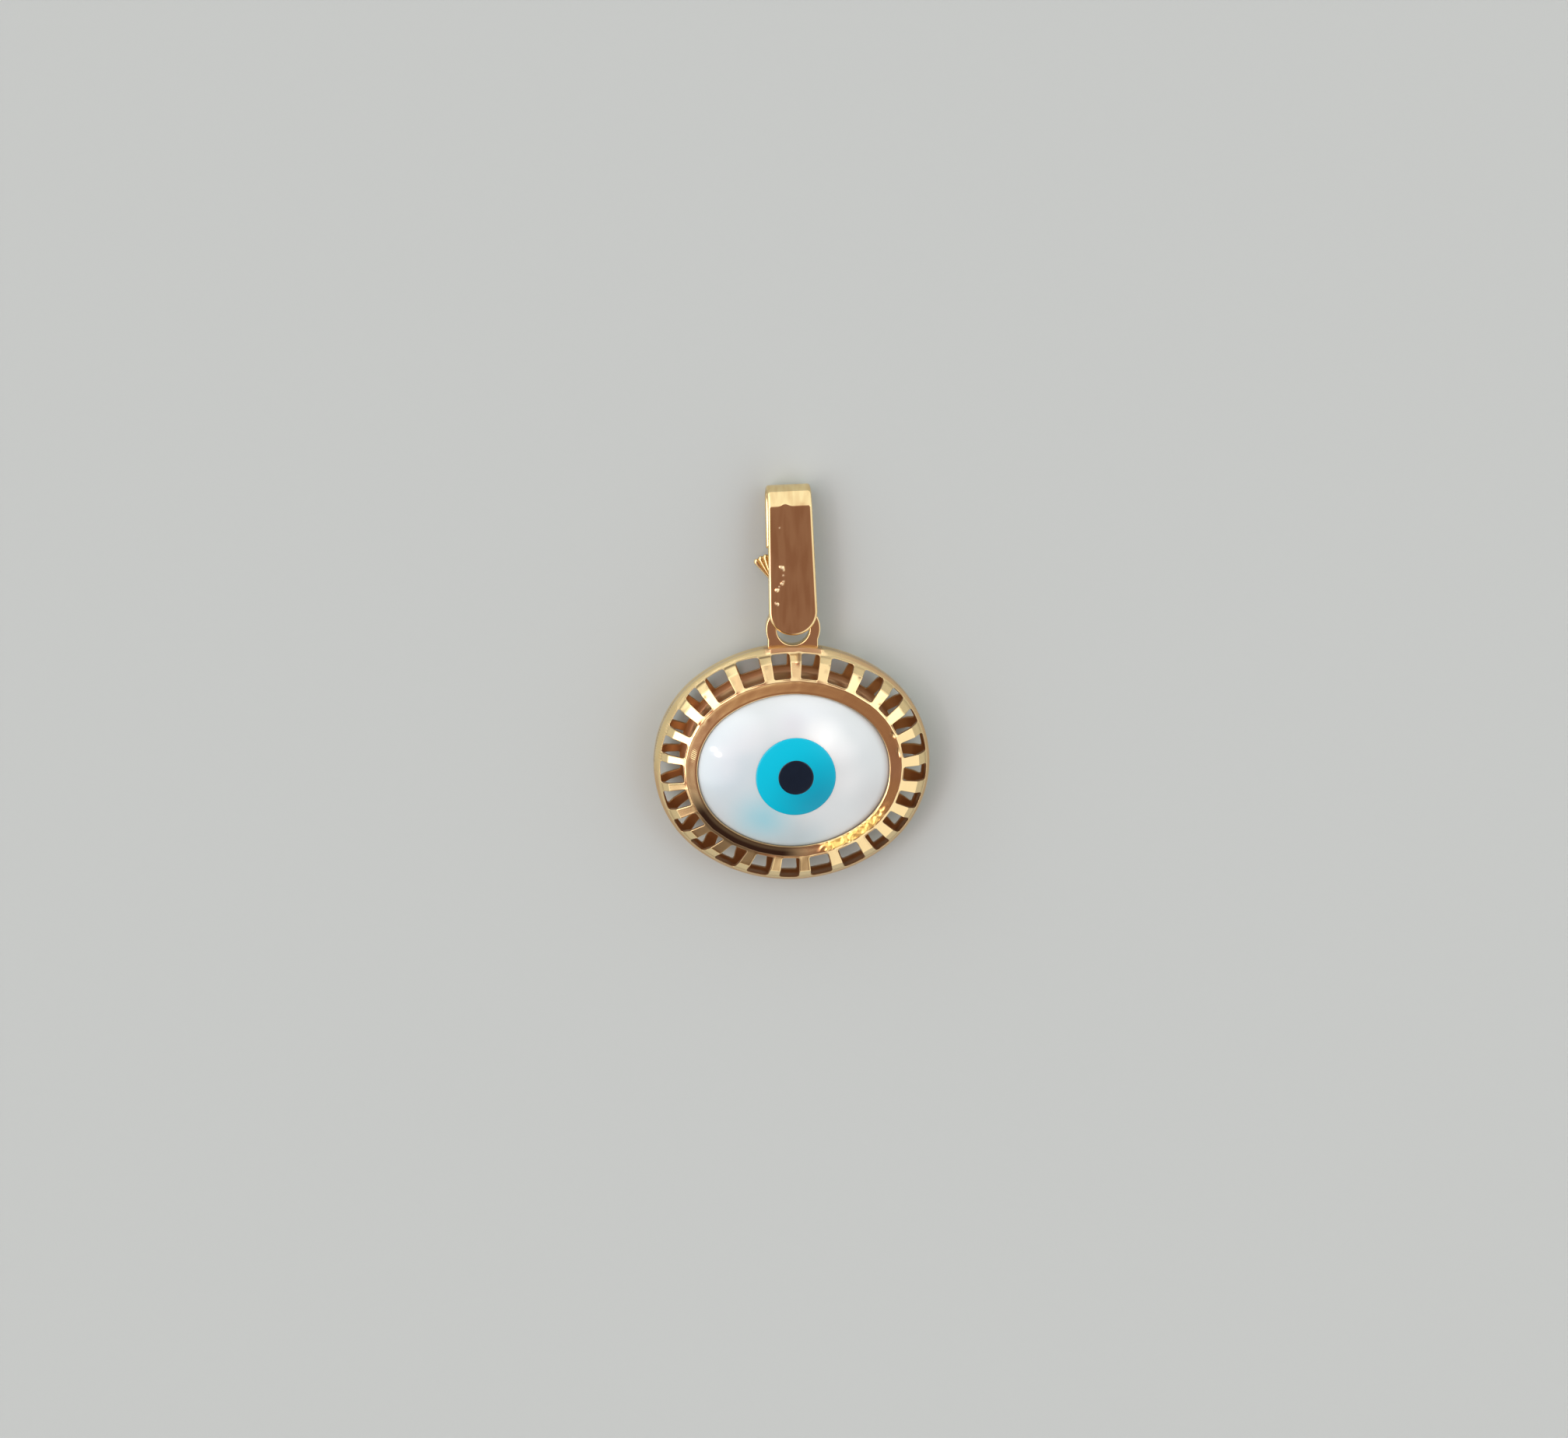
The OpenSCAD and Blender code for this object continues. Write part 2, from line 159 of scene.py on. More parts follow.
# Rows of the outer face on either side of the sawn zone: the rim's wall and shoulder, the crest, the collar that
# falls to the stone, and the rounded lip. A pair is an outward distance and a height, a single number a distance.
wall_rows = [(rim_at - 0.012, 0.0), (rim_at, 0.03), (rim_at, 0.17), (rim_at, 0.3)]
shoulder_places = (2.45, 2.39, 2.33, 2.27)
crest_places = (0.77, 0.73, 0.705, 0.69, 0.675, 0.66, 0.645, 0.62, 0.59)
collar_rows = [(0.54, 1.871), (0.48, 1.86), (0.41, 1.847), (0.34, 1.834), (0.27, 1.821), (0.2, 1.808), (0.13, 1.795)]
lip_rows = [(0.08, 1.786), (0.05, 1.783), (0.025, 1.785), (0.005, 1.789), (-0.015, 1.79), (-0.035, 1.786)]
lip_rows += [(-0.055, 1.776), (-0.067, 1.76), (-0.07, 1.74)]

# Rows of the hollow on either side of the sawn zone, and of the tube between its two sides
hollow_rim_rows = [(hollow_rim, 0.0), (hollow_rim, 0.36), (2.30, 0.42), (2.25, 0.486)]
hollow_collar_rows = [(0.74, 1.65), (0.66, 1.66), (0.45, 1.625), (0.27, 1.58)]
tube_rows = [(0.25, 0.5), (0.25, -0.5)]

# Seat of the stone, from the lip down past the ledge to the open back
seat = [(-0.07, 1.66), (0.03, 1.65), (0.03, 1.2), (0.03, 0.3), (0.03, -0.43), (-0.02, -0.442), (-0.45, -0.442)]
seat += [(-0.5, -0.5), (-0.5, -0.62), (-0.45, -0.662), (-0.02, -0.662), (0.03, -0.72), (0.03, -1.2)]
seat += [(0.035, -1.68), (0.06, -1.765)]


def face_rows(zone):
    """Rows of a shell's outer face from the rim's seam to the lip."""
    bend_top, bend_in = 0.62, 2.4
    bend = [tuple(p) for p in gallery_face if wall_rows[-1][1] < p[1] < bend_top and p[0] > bend_in]
    sawn = on_face(gallery_face, shoulder_places) + on_face(gallery_face, zone) + on_face(gallery_face, crest_places)
    return wall_rows + bend + sawn + collar_rows + lip_rows


def hollow_side(zone):
    """Rows of one side of the hollow, from the rim's seam to the tube."""
    return hollow_rim_rows + on_face(hollow_face, zone) + hollow_collar_rows


# The back is the front turned over, without the lip
lip_start = 0.09
front = face_rows(zone)
back = [(u, -z) for u, z in face_rows(back_zone) if u > lip_start][:0:-1]
outer_rows = np.array(front + seat + back)
hollow_back_side = [(u, -z) for u, z in hollow_side(back_zone)[:0:-1]]
hollow_rows = np.array(hollow_side(zone) + tube_rows + hollow_back_side)
front_step, back_step = len(zone) - 1, len(back_zone) - 1
outer_top = [u for u, _ in front].index(window_out)
outer_back = len(outer_rows) - outer_top - back_step
hollow_top = len(hollow_rim_rows)
hollow_back = len(hollow_rows) - hollow_top - back_step

# How the bars differ, as sawn by hand: width as a share, turn in degrees, and lean and twist as slopes. Those at the
# left are narrower, and those at the lower left slant.
rng = np.random.default_rng(7)
bar_scale = 1 + 0.06 * rng.standard_normal(window_count)
bar_shift = 0.4 * rng.standard_normal(window_count)
bar_lean = 0.05 * rng.standard_normal(window_count)
bar_twist = 0.06 * rng.standard_normal(window_count)
bar_turns = first_bar_turn + pitch * np.arange(window_count)
bar_scale -= 0.2 * near(bar_turns, 270, 20)
bar_slant = 0.38 * near(bar_turns, 220, 20)

# Columns round the oval: each bar's own, then those of the window after it. Cells that carry file marks or crumpled
# solder have more of them.
columns = []
for cell in range(window_count):
    filed = 262 < bar_turns[cell] < 300
    crumpled = 80 < bar_turns[cell] < 172
    across_bar = 22 if filed else 10 if crumpled else 8
    across_window = 30 if filed else 14 if crumpled else 4
    columns += [("bar", cell, f) for f in np.linspace(-0.5, 0.5, across_bar + 1)]
    columns += [("window", cell, f) for f in (0.05, 0.1)]
    columns += [("window", cell, f) for f in np.linspace(0.1, 0.9, across_window + 2)[1:-1]]
    columns += [("window", cell, f) for f in (0.9, 0.95)]

# Turn of each column, and its bar or window
bar_turn = 0.37 * pitch
column_turn = np.array([
    bar_turns[cell] + (f * bar_turn if kind == "bar" else bar_turn / 2 + f * (pitch - bar_turn))
    for kind, cell, f in columns
])
column_of = {}
for c, (kind, cell, share) in enumerate(columns):
    column_of.setdefault((kind, cell), []).append(c)


def bar_width(outward):
    """Width of a bar at an outward distance."""
    at_crest, widening, mean_radius = 0.6, 0.16, 5.55
    inner = at_crest * (mean_radius + outward) / (mean_radius + window_in)
    outer = at_crest + widening * (outward - window_in) / (window_out - window_in)
    return np.where(outward < window_in, inner, outer)


def bar_place(cell, share, outward, height):
    """Points of a bar's surface: share runs from -0.5 at its anticlockwise edge to 0.5 at its clockwise one."""
    cell = cell % window_count
    direction = square_to_oval(bar_turns[cell] + bar_shift[cell])
    across = np.array([np.sin(direction), -np.cos(direction)])
    share_out = np.clip((outward - window_in) / (window_out - window_in), 0, 1)
    slide = bar_slant[cell] * (1 - share_out) * smooth(0.2, 0.7, height)
    beside = share * bar_width(outward) * bar_scale[cell] - slide
    return oval_point(outward, np.full(len(outward), direction)) + np.outer(beside, across)


def lay_out(rows):
    """Places of a grid of rows by columns, in millimetres from the oval's middle.

    The rim, the lip and the tube are round, and the crest runs straight from bar to bar. The collar's foot follows
    the stone, which sits a little below the oval's middle.
    """
    u, z = rows[:, 0], rows[:, 1]
    round_share = np.maximum(smooth(2.2, 2.4, u), 1 - smooth(0.1, 0.5, u))
    collar = (z > 1.7) | (u < 0.24)
    shift = np.where(collar & (z > -0.7), 1 - smooth(0.06, 0.6, u), 0)
    grid = np.zeros((len(rows), len(columns), 3))
    for c, (kind, cell, share) in enumerate(columns):
        if kind == "bar":
            flat = bar_place(cell, share, u, z)
        else:
            flat = (1 - share) * bar_place(cell, 0.5, u, z) + share * bar_place(cell + 1, -0.5, u, z)
        grid[:, c, :2] = flat + round_share[:, None] * (onto_oval(flat, u) - flat)
        grid[:, c, 1] -= stone_low * shift
        grid[:, c, 2] = z
    return grid


outer, hollow = lay_out(outer_rows), lay_out(hollow_rows)

# The front's windows are sawn a little further out at the right, the foot, the lower left and the upper left. The
# sheet beside their outer edges moves with them, between two outward distances.
turn_here = np.mod(column_turn, 360)
far_out = smooth(23, 42, turn_here) * (1 - smooth(235, 262, turn_here))
far_out += smooth(300, 315, turn_here) * (1 - smooth(335, 347, turn_here))
moves_from = 1.95
sides = ((outer, outer_rows, gallery_face, 0.12, 2.4), (hollow, hollow_rows, hollow_face, 0.07, 2.32))
for grid, rows, face, most, moves_to in sides:
    for r, (u, z) in enumerate(rows):
        if z > 0.4 and u > moves_from:
            share = np.interp(u, (moves_from, window_out, moves_to), (0, 1, 0))
            moved_to = u + most * share * far_out
            grid[r, :, :2] = onto_oval(grid[r, :, :2], moved_to)
            grid[r, :, 2] = height_on(face, moved_to)

# Hand work on the front, as heights added to the outer face in millimetres. Each term is near zero away from its
# place, which is a turn in degrees, clockwise from the top, and an outward distance.
everywhere = np.ones(outer.shape[:2])
outward, row_height = outer_rows[:, :1] * everywhere, outer_rows[:, 1:] * everywhere
turn_of = turn_here * everywhere
on_front = (row_height > 0.3) & (np.arange(len(outer_rows))[:, None] < len(front))


def grain(points, size, seed):
    """Smooth random heights between about -1 and 1 at points, with hills of a size in millimetres."""
    flat = points.reshape(-1, 3)
    heights = [noise.noise(Vector((x / size + seed, y / size, z / size))) for x, y, z in flat]
    return np.array(heights).reshape(points.shape[:-1])


# Uneven sheet, and bars that lean and twist a little
lift = 0.012 * grain(outer, 1.1, 3) + 0.005 * grain(outer, 0.45, 9)
share_of = np.array([f if kind == "bar" else 0.5 - f for kind, _, f in columns])
cell_of = np.array([cell for _, cell, _ in columns])
on_gallery = smooth(0.66, 0.9, outward) * (1 - smooth(1.75, 2.15, outward))
lift += on_gallery * bar_lean[cell_of] * (outward - 1.3) * 0.6
lift += on_gallery * bar_twist[cell_of] * share_of * 0.6

# Solder on the collar at the lower right, crumpled over most of its run
solder_run = smooth(92, 104, turn_of) * (1 - smooth(160, 168, turn_of)) * smooth(-0.05, 0.05, outward)
solder_run *= 1 - smooth(0.56, 0.7, outward)
crumple = solder_run * smooth(112, 132, turn_of)
creases = 1 - 2.4 * np.abs(grain(outer, 0.5, 21))
lift += crumple * (0.075 * creases + 0.05 * grain(outer, 0.22, 33))
lift += solder_run * (0.04 - 0.06 * outward)

# A rough spot on the crest at the upper left, and two dents inside the crest at the right
lift += 0.03 * near(turn_of, 305.5, 3) * near(outward, 0.6, 0.12) * creases
dent = (near(turn_of, 68, 1.8) + near(turn_of, 80, 2.2)) * near(outward, 0.55, 0.1)
lift -= 0.06 * dent

# File marks across the rim band at the left, and a few on the collar there
filed = smooth(268, 273, turn_of) * (1 - smooth(299, 302, turn_of)) * smooth(2.15, 2.22, outward)
filed *= 1 - 0.8 * near(turn_of, 290, 2.5)
around = np.cumsum(np.append(0, np.linalg.norm(np.diff(outer[outer_top - 2, :, :2], axis=0), axis=1)))
stroke_length = 0.17
strokes = np.sin(around / stroke_length * 2 * math.pi)
lift += (0.05 * filed + 0.02 * near(turn_of, 281, 4) * near(outward, 0.3, 0.13)) * strokes[None, :]
for r, (u, z) in enumerate(outer_rows[: outer_top - 1]):
    if z > 0.1 and u > 2.4:
        outer[r, :, :2] = onto_oval(outer[r, :, :2], u - 0.05 * filed[r] * (1 + strokes) / 2)

# Nicks near the middle of some bars: turn and outward distance
nicks = [(316, 1.62), (331, 1.5), (346, 1.66), (4, 1.75), (16, 1.35), (18, 1.8), (31, 1.75), (45, 1.5), (46, 1.1)]
nick = np.zeros_like(lift)
for turn, place in nicks:
    gap = (turn_of - turn + 180) % 360 - 180
    nick = np.maximum(nick, near(gap, 0, 0.9) * near(outward, place, 0.06))
lift -= 0.03 * nick
outer[..., 2] += np.where(on_front, lift, 0)

# Solder that has run from the ear's foot over the rim band, with its face nearly level, and in a tongue down the
# first bar
x_here, y_here = outer[..., 0], outer[..., 1]
run = smooth(-1.75, -1.45, x_here) * (1 - smooth(1.75, 2.15, x_here)) * smooth(2.16, 2.24, outward)
run = np.where((y_here > 0) & on_front, run, 0)
level = 0.79 + 0.2 * (2.5 - outward) + 0.012 * grain(outer, 0.5, 5)
outer[..., 2] += run * np.maximum(level - outer[..., 2], -0.12)
tongue = near(x_here, 0.30 + 0.1 * (outward - 2), 0.13) * smooth(1.68, 1.9, outward) * (1 - smooth(2.2, 2.3, outward))
outer[..., 2] += np.where((y_here > 0) & on_front, 0.16 * tongue * (1 - smooth(1.9, 2.3, outward) * 0.4), 0)

# How darkened the gold is, from 0 to 1: a painted dark reflection on the lower left of the collar, painted shade
# just past the crest there and on the tongue of solder, and darker in the nicks, the dents and the windows' outer
# edges
darkened_and_shaded = smooth(160, 186, turn_of) * (1 - 0.75 * smooth(240, 262, turn_of)) * (1 - smooth(262, 285, turn_of))
darkened_and_shaded *= (0.92 + 0.08 * smooth(0.14, 0.36, outward)) * (0.6 + 0.4 * smooth(-0.05, 0.05, outward))
darkened_and_shaded *= 1 - smooth(0.62, 0.68, outward)
past_crest = smooth(196, 208, turn_of) * (1 - smooth(236, 247, turn_of)) * smooth(0.6, 0.66, outward)
darkened_and_shaded = np.maximum(darkened_and_shaded, past_crest * (0.75 - 0.3 * smooth(0.75, 0.9, outward)) * (1 - smooth(1.4, 1.8, outward)))
darkened_and_shaded = np.maximum(darkened_and_shaded, np.maximum(0.75 * nick, 0.5 * dent))
darkened_and_shaded = np.maximum(darkened_and_shaded, np.where(y_here > 0, 0.5 * tongue, 0))
outer_edge_dark = near(outward, 2.17, 0.045) * (0.35 + 0.5 * smooth(285, 320, turn_of) * (1 - smooth(345, 360, turn_of)))
darkened_and_shaded = np.where(on_front, np.maximum(darkened_and_shaded, outer_edge_dark), 0)

# How raw the gold is: as the solder left it, and a little warmer along the upper collar
warm = 0.35 * smooth(300, 330, turn_of) + 0.35 * (1 - smooth(60, 90, turn_of))
warm *= smooth(-0.05, 0.05, outward) * (1 - smooth(0.56, 0.7, outward))
raw = np.where(on_front, np.maximum(0.4 * solder_run + 0.6 * crumple, warm), 0)


def window_edges(cell):
    """Column numbers of a window, from the bar before it to the bar after it."""
    last_of_bar = column_of[("bar", cell)][-1]
    first_of_next = column_of[("bar", (cell + 1) % window_count)][0]
    return [last_of_bar] + column_of[("window", cell)] + [first_of_next]


def round_corners(grid, top, bottom):
    """Rounds the corners of every window whose sawn zone runs from row top to row bottom."""
    round_corner = ((0, 2), (0, 1), (0, 0), (1, 0), (2, 0))
    for cell in range(window_count):
        cols = window_edges(cell)
        for row, row_step in ((top, 1), (bottom, -1)):
            for col, col_step in ((0, 1), (len(cols) - 1, -1)):
                corner = grid[row, cols[col]].copy()
                along = grid[row, cols[col + 2 * col_step]] - corner
                down = grid[row + 2 * row_step, cols[col]] - corner
                for n, (r, k) in enumerate(round_corner):
                    angle = math.pi / 8 * n
                    place = corner + (1 - math.sin(angle)) * along + (1 - math.cos(angle)) * down
                    grid[row + r * row_step, cols[col + k * col_step]] = place


for grid, top, step in ((outer, outer_top, front_step), (outer, outer_back, back_step)):
    round_corners(grid, top, top + step)
for grid, top, step in ((hollow, hollow_top, front_step), (hollow, hollow_back, back_step)):
    round_corners(grid, top, top + step)

# How far the gold is painted browner as painted shade: in the hollow and the seat, round the ear's foot, and on the
# rim from the upper right round the foot to the left, where it is a painted dark reflection; also browner on the
# tongue of solder
inside = np.where(on_front | (row_height < -0.7), 0.0, 0.6) * (outward < 0.1)
on_rim = smooth(2.3, 2.4, outward) * (row_height > -0.1)
under_ear = (1 - smooth(1.6, 2.0, np.abs(x_here))) * (y_here > 0)
brown_rim = (1 - smooth(262, 275, turn_of)) * smooth(8, 30, turn_of)
inside = np.maximum(inside, on_rim * np.maximum(0.75 * brown_rim, 0.9 * under_ear))
inside = np.maximum(inside, 0.8 * np.where((y_here > 0) & on_front, tongue, 0))

# How satin the gold is: the bars and the rim's shoulder
satin = np.where(on_front, smooth(0.62, 0.9, outward) * (1 - smooth(2.3, 2.4, outward)), 0)
marks = {"darkened_and_shaded": darkened_and_shaded, "raw": raw, "inside": inside, "satin": satin}
marks = {name: list(values.ravel()) for name, values in marks.items()}


def mark(count, **given):
    """Notes the marks of the next points."""
    for name, values in marks.items():
        values.extend([given.get(name, 0.0)] * count)


def joined(rings, size, closed=True):
    """Faces between closed rings of points, one to the next, and also the last to the first if closed."""
    faces = []
    for r in range(rings if closed else rings - 1):
        s = (r + 1) % rings
        for a in range(size):
            b = (a + 1) % size
            faces.append((r * size + a, r * size + b, s * size + b, s * size + a))
    return faces


# Points and faces of the whole shell: both grids, the windows left open, and a rounded wall round each opening
points = [tuple(p) for p in outer.reshape(-1, 3)] + [tuple(p) for p in hollow.reshape(-1, 3)]
# The hollow is marked for full painted shade
mark(len(hollow_rows) * len(columns), inside=1.0)
faces = []
hollow_start = outer.shape[0] * len(columns)
open_columns = {c for cell in range(window_count) for c in window_edges(cell)[:-1]}


def close_grid(rows, start, tops, inside_out):
    """Faces of a grid that closes both ways round, without those inside the windows."""
    for n, face in enumerate(joined(rows, len(columns))):
        r, c = divmod(n, len(columns))
        if c in open_columns and any(top <= r < top + step for top, step in tops):
            continue
        face = [start + i for i in face]
        faces.append(face[::-1] if inside_out else face)


close_grid(outer.shape[0], 0, ((outer_top, front_step), (outer_back, back_step)), True)
close_grid(hollow.shape[0], hollow_start, ((hollow_top, front_step), (hollow_back, back_step)), False)


def loop_of(cell, top, bottom):
    """Rows and columns of a window's outline, once round."""
    cols = window_edges(cell)
    over = [(top, c) for c in cols]
    right = [(r, cols[-1]) for r in range(top + 1, bottom)]
    under = [(bottom, c) for c in cols[::-1]]
    left = [(r, cols[0]) for r in range(bottom - 1, top, -1)]
    return over + right + under + left


def wall_in(cell, top, inner_top, step, facing):
    """Wall of one window: its edges are drawn back into the sheet on both faces and rounded over."""
    strips = []
    # Each side's last number is how much painted shade its wall takes, growing towards the wall's far edge
    sides = ((outer, top, 0, -facing, 0.85), (hollow, inner_top, hollow_start, facing, 1.0))
    for grid, first, start, down, painted_shade in sides:
        loop = loop_of(cell, first, first + step)
        ring = np.array([grid[r, c] for r, c in loop])
        tangent = np.roll(ring, -1, 0) - np.roll(ring, 1, 0)
        square = np.cross(ring - ring.mean(0), tangent).sum(0)
        inward = np.cross(square / np.linalg.norm(square), tangent)
        inward /= np.linalg.norm(inward, axis=1)[:, None]
        inward *= np.sign((inward * (ring.mean(0) - ring)).sum(1).mean())
        drawn = ring - edge_round * inward
        lower = ring + np.array([0, 0, down]) * edge_round
        for (r, c), p in zip(loop, drawn):
            points[start + r * len(columns) + c] = tuple(p)
        rings = [[start + r * len(columns) + c for r, c in loop]]
        for t in (0.35, 0.68, 1.0):
            at = (1 - t) ** 2 * drawn + 2 * t * (1 - t) * ring + t * t * lower
            rings.append(list(range(len(points), len(points) + len(at))))
            points.extend(tuple(p) for p in at)
            mark(len(at), inside=painted_shade * t)
        strips += rings if grid is outer else rings[::-1]
    for a, b in zip(strips, strips[1:]):
        for i in range(len(a)):
            j = (i + 1) % len(a)
            face = (a[i], a[j], b[j], b[i])
            faces.append(face if facing > 0 else face[::-1])


for cell in range(window_count):
    wall_in(cell, outer_top, hollow_top, front_step, 1)
    wall_in(cell, outer_back, hollow_back, back_step, -1)

# Ear: a flat ring whose straight foot ends inside the rim's wall, a rounded section swept round its hole
ear_middle, ear_outer, ear_hole, ear_half = 8.63, 1.71, 1.03, 0.35
ear_foot, ear_side = 1.28, 1.58


def ear_reach(turn):
    """Distance from the ear's middle to its outline, at a turn from the right."""
    x, y = math.cos(turn), math.sin(turn)
    if y > -math.sqrt(1 - (ear_side / ear_outer) ** 2):
        return ear_outer
    return min(ear_side / max(abs(x), 1e-6), ear_foot / -y)


def ear_ring():
    """Points and faces of the ring. Its section's points are a share of the way out, an extra reach and a height."""
    inner_round, outer_round, around = 0.07, 0.09, 120
    section = []
    for t in np.linspace(0, math.pi / 2, 5):
        section.append((0, inner_round * (1 - math.sin(t)), ear_half - inner_round * (1 - math.cos(t))))
    section = section[::-1]
    section += [(0.4, 0, ear_half + 0.01), (0.7, 0, ear_half + 0.005)]
    for t in np.linspace(math.pi / 2, 0, 7):
        section.append((1, -outer_round * (1 - math.cos(t)), ear_half - outer_round * (1 - math.sin(t))))
    ring = section + [(s, d, -z) for s, d, z in section[::-1]]
    points = []
    for turn in np.linspace(0, 2 * math.pi, around, endpoint=False):
        far = ear_reach(turn)
        for share, extra, z in ring:
            reach = ear_hole + (far - ear_hole) * share + extra
            points.append((reach * math.cos(turn), ear_middle + reach * math.sin(turn), z))
    return points, [(a, d, c, b) for a, b, c, d in joined(around, len(ring))]


ear_points, ear_faces = ear_ring()
faces += [[i + len(points) for i in f] for f in ear_faces]
points += ear_points
mark(len(ear_points))


def mesh_piece(name, points, faces, middle, **marks):
    """A piece whose points are millimetres from a middle in the row's frame, with a named number on each point."""
    mesh = bpy.data.meshes.new(name)
    mesh.from_pydata([tuple((np.array(p) + middle) * MM) for p in points], [], faces)
    for mark, values in marks.items():
        mesh.attributes.new(mark, "FLOAT", "POINT").data.foreach_set("value", values)
    piece = bpy.data.objects.new(name, mesh)
    bpy.context.scene.collection.objects.link(piece)
    whole = bmesh.new()
    whole.from_mesh(mesh)
    bmesh.ops.remove_doubles(whole, verts=whole.verts, dist=1e-8)
    bmesh.ops.recalc_face_normals(whole, faces=whole.faces)
    whole.to_mesh(mesh)
    whole.free()
    mesh.shade_smooth()
    return piece


setting = mesh_piece("setting_body", points, faces, oval_middle, **marks)
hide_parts("setting")
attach(setting, "root")


class Wire:
    """A socket of a material's or a room's nodes, on which arithmetic adds Math nodes."""

    def __init__(self, tree, socket=None):
        self.tree, self.socket = tree, socket

    def node(self, kind, settings=None, inputs=None, output=0):
        """Adds a node: its settings first, then the values or links of its sockets."""
        made = self.tree.nodes.new(kind)
        for name, value in (settings or {}).items():
            setattr(made, name, value)
        for name, value in (inputs or {}).items():
            if isinstance(value, Wire):
                self.tree.links.new(value.socket, made.inputs[name])
            else:
                made.inputs[name].default_value = value
        return Wire(self.tree, made.outputs[output])

    def math(self, operation, *values):
        """Adds a Math node."""
        return self.node("ShaderNodeMath", {"operation": operation}, dict(enumerate(values)))

    def mix(self, first, second):
        """A colour between two, by this wire's value."""
        return self.node("ShaderNodeMix", {"data_type": "RGBA"}, {0: self, 6: first, 7: second}, 2)

    def into(self, shader, name):
        """Links this wire to a shader's socket."""
        self.tree.links.new(self.socket, shader.inputs[name])

    def __add__(self, other):
        return self.math("ADD", self, other)

    __radd__ = __add__

    def __mul__(self, other):
        return self.math("MULTIPLY", self, other)

    __rmul__ = __mul__

    def __sub__(self, other):
        return self.math("SUBTRACT", self, other)

    def __rsub__(self, other):
        return self.math("SUBTRACT", other, self)

    def __pow__(self, other):
        return self.math("POWER", self, other)


def material(name, piece):
    """A new material on a piece: its shader and a wire to build on."""
    made = bpy.data.materials.new(name)
    made.use_nodes = True
    piece.data.materials.append(made)
    return made.node_tree.nodes["Principled BSDF"], Wire(made.node_tree)


def spots(wire, size, detail=2.0):
    """Noise over the object's own millimetres, with patches of a size."""
    place = wire.node("ShaderNodeTexCoord", output="Object")
    return wire.node("ShaderNodeTexNoise", {}, {"Vector": place, "Scale": 1 / (size * MM), "Detail": detail})


def mark_of(wire, name):
    """One of the numbers that a piece's mesh keeps on its points."""
    return wire.node("ShaderNodeAttribute", {"attribute_name": name}, output="Fac")


gold, metal = material("gold", setting)
darkened, solder, painted_shade, sawn = (mark_of(metal, name) for name in ("darkened_and_shaded", "raw", "inside", "satin"))
clean_gold = solder.mix((0.93, 0.71, 0.37, 1), (1.0, 0.72, 0.22, 1))
# The inside mark browns the gold: painted shade, and a painted dark reflection on the rim
shaded_gold = painted_shade.mix(clean_gold, (0.58, 0.36, 0.19, 1))
# The darkened mark paints the gold nearly black: a painted dark reflection and painted shade, and darker nicks, dents
# and window edges
darkened.mix(shaded_gold, (0.035, 0.017, 0.010, 1)).into(gold, "Base Color")
shine = 0.10 + 0.34 * darkened + 0.30 * solder**2 + 0.30 * painted_shade + 0.10 * sawn
(shine + 0.05 * spots(metal, 0.9)).into(gold, "Roughness")
gold.inputs["Metallic"].default_value = 1
scratch_depth = 0.02 * MM
scratches = {"Height": spots(metal, 0.09), "Strength": 0.06, "Distance": scratch_depth}
metal.node("ShaderNodeBump", {}, scratches).into(gold, "Normal")


# Stone: a cabochon of white mother-of-pearl, domed more tightly across than along, with a round pocket for the
# inlays. The lip holds it down on the ledge.

across_radius, along_radius, dome_top = 9.63, 13.99, 2.988
stone_back, inlay_depth = -0.412, 1.6
iris_middle = np.array([0.06, -0.28])
iris_radius, pupil_radius = 2.5, 1.1


def dome_height(x, y):
    """Height of the dome's surface over a point, from the oval's middle plane."""
    rho = across_radius - along_radius + np.sqrt(along_radius**2 - x**2)
    return dome_top - across_radius + np.sqrt(rho**2 - (y + stone_low) ** 2)


def dome_ring(place, sink=0.0, flat=None):
    """A ring of points over places in plan, sunk a little into the dome or at a flat height."""
    z = dome_height(place[:, 0], place[:, 1]) - sink if flat is None else np.full(len(place), flat)
    return np.column_stack([place, z])


